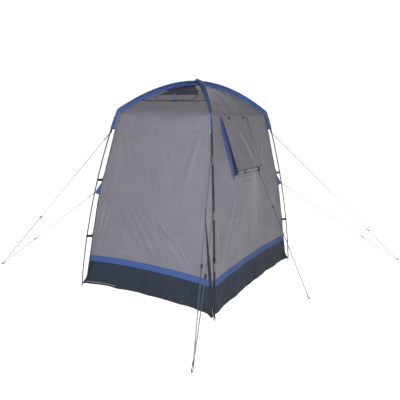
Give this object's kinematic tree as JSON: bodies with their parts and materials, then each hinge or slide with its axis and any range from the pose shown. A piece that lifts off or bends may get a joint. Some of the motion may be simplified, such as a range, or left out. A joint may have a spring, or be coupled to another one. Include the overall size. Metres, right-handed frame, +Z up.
{
  "type": "privacy shower tent",
  "caption": "Tapered pole-supported cabin tent for showering or changing, with zipped door, propped window flap, roof vent, mud skirt and guy lines.",
  "frame": {"origin": "centre of the cabin's rectangle of pole feet, on the ground", "axes": "+Z up, the door wall faces -Y and the window wall faces +X"},
  "size_m": [4.3078, 3.7993, 2.268],
  "materials": {
    "grey_fabric": "matt coated polyester",
    "roof_fabric": "matt coated polyester",
    "navy_fabric": "matt coated polyester",
    "blue_fabric": "matt polyester",
    "black_mesh": "fine insect mesh",
    "pole": "black fibreglass rod with steel ferrules",
    "steel": "zinc-plated steel",
    "cord": "braided cord",
    "black_plastic": "moulded plastic"
  },
  "bodies": {
    "cabin": {"front_right_leg_section_1": "pole", "front_right_leg_section_2": "pole", "front_right_leg_section_3": "pole", "front_right_elbow": "pole", "front_right_foot_pin": "steel", "front_right_peg": "steel", "front_right_upper_guy": "cord", "front_right_lower_guy": "cord", "front_left_leg_section_1": "pole", "front_left_leg_section_2": "pole", "front_left_leg_section_3": "pole", "front_left_elbow": "pole", "front_left_foot_pin": "steel", "front_left_peg": "steel", "front_left_upper_guy": "cord", "front_left_lower_guy": "cord", "rear_right_leg_section_1": "pole", "rear_right_leg_section_2": "pole", "rear_right_leg_section_3": "pole", "rear_right_elbow": "pole", "rear_right_foot_pin": "steel", "rear_right_peg": "steel", "rear_right_upper_guy": "cord", "rear_right_lower_guy": "cord", "rear_left_leg_section_1": "pole", "rear_left_leg_section_2": "pole", "rear_left_leg_section_3": "pole", "rear_left_elbow": "pole", "rear_left_foot_pin": "steel", "rear_left_peg": "steel", "rear_left_upper_guy": "cord", "rear_left_lower_guy": "cord", "roof_pole_over": "pole", "roof_pole_under": "pole", "window_peg": "steel", "window_guy": "cord", "window_wall": "grey_fabric", "rear_wall": "grey_fabric", "plain_wall": "grey_fabric", "front_surround": "grey_fabric", "roof_canopy": "roof_fabric", "skirt": "navy_fabric", "sleeve_over": "blue_fabric", "sleeve_under": "blue_fabric", "window_mesh": "black_mesh", "vent_mesh": "black_mesh"},
    "door": {"door_panel": "grey_fabric"},
    "door_zip_slider": {"door_zip_slider": "black_plastic"},
    "window_flap": {"window_flap": "grey_fabric"},
    "vent_flap": {"vent_flap": "roof_fabric"},
    "lamp_ring": {"lamp_ring": "steel"},
    "front_right_upper_guy_runner": {"front_right_upper_guy_runner": "black_plastic"},
    "front_right_lower_guy_runner": {"front_right_lower_guy_runner": "black_plastic"},
    "front_left_upper_guy_runner": {"front_left_upper_guy_runner": "black_plastic"},
    "front_left_lower_guy_runner": {"front_left_lower_guy_runner": "black_plastic"},
    "rear_right_upper_guy_runner": {"rear_right_upper_guy_runner": "black_plastic"},
    "rear_right_lower_guy_runner": {"rear_right_lower_guy_runner": "black_plastic"},
    "rear_left_upper_guy_runner": {"rear_left_upper_guy_runner": "black_plastic"},
    "rear_left_lower_guy_runner": {"rear_left_lower_guy_runner": "black_plastic"},
    "window_guy_runner": {"window_guy_runner": "black_plastic"}
  },
  "joints": [
    {"name": "door_swing", "type": "hinge", "parent": "cabin", "child": "door", "pos_m": [-0.615, -0.89454, 0.95], "axis": [-0.1748, -0.1631, -0.971], "range_deg": [0, 100]},
    {"name": "door_zip_slide", "type": "slide", "parent": "door", "child": "door_zip_slider", "axis": [-0.1757, 0.1277, 0.9761], "range_m": [0, 0.85]},
    {"name": "window_flap_swing", "type": "hinge", "parent": "cabin", "child": "window_flap", "pos_m": [0.55476, -0.157, 1.872], "axis": [0, -1, 0], "range_deg": [-3.2, 35]},
    {"name": "vent_flap_swing", "type": "hinge", "parent": "cabin", "child": "vent_flap", "pos_m": [0, -0.4116, 2.09488], "axis": [-1, 0, 0], "range_deg": [0, 170]},
    {"name": "lamp_ring_swing", "type": "hinge", "parent": "cabin", "child": "lamp_ring", "pos_m": [0, 0, 2.202], "axis": [1, 0, 0], "range_deg": [-60, 60]},
    {"name": "front_right_upper_guy_runner_slide", "type": "slide", "parent": "cabin", "child": "front_right_upper_guy_runner", "axis": [0.2201, -0.5378, -0.8138], "range_m": [0, 0.667]},
    {"name": "front_right_lower_guy_runner_slide", "type": "slide", "parent": "cabin", "child": "front_right_lower_guy_runner", "axis": [0.2345, -0.6595, -0.7142], "range_m": [0, 0.676]},
    {"name": "front_left_upper_guy_runner_slide", "type": "slide", "parent": "cabin", "child": "front_left_upper_guy_runner", "axis": [-0.6831, -0.0966, -0.7239], "range_m": [0, 0.75]},
    {"name": "front_left_lower_guy_runner_slide", "type": "slide", "parent": "cabin", "child": "front_left_lower_guy_runner", "axis": [-0.8136, -0.0471, -0.5795], "range_m": [0, 0.586]},
    {"name": "rear_right_upper_guy_runner_slide", "type": "slide", "parent": "cabin", "child": "rear_right_upper_guy_runner", "axis": [0.5928, 0.4391, -0.6751], "range_m": [0, 0.442]},
    {"name": "rear_right_lower_guy_runner_slide", "type": "slide", "parent": "cabin", "child": "rear_right_lower_guy_runner", "axis": [0.6934, 0.4842, -0.5337], "range_m": [0, 0.474]},
    {"name": "rear_left_upper_guy_runner_slide", "type": "slide", "parent": "cabin", "child": "rear_left_upper_guy_runner", "axis": [-0.2212, 0.5308, -0.8181], "range_m": [0, 0.664]},
    {"name": "rear_left_lower_guy_runner_slide", "type": "slide", "parent": "cabin", "child": "rear_left_lower_guy_runner", "axis": [-0.2366, 0.6517, -0.7207], "range_m": [0, 0.67]},
    {"name": "window_guy_runner_slide", "type": "slide", "parent": "cabin", "child": "window_guy_runner", "axis": [0.4478, -0.0472, -0.8929], "range_m": [0, 0.935]}
  ]
}
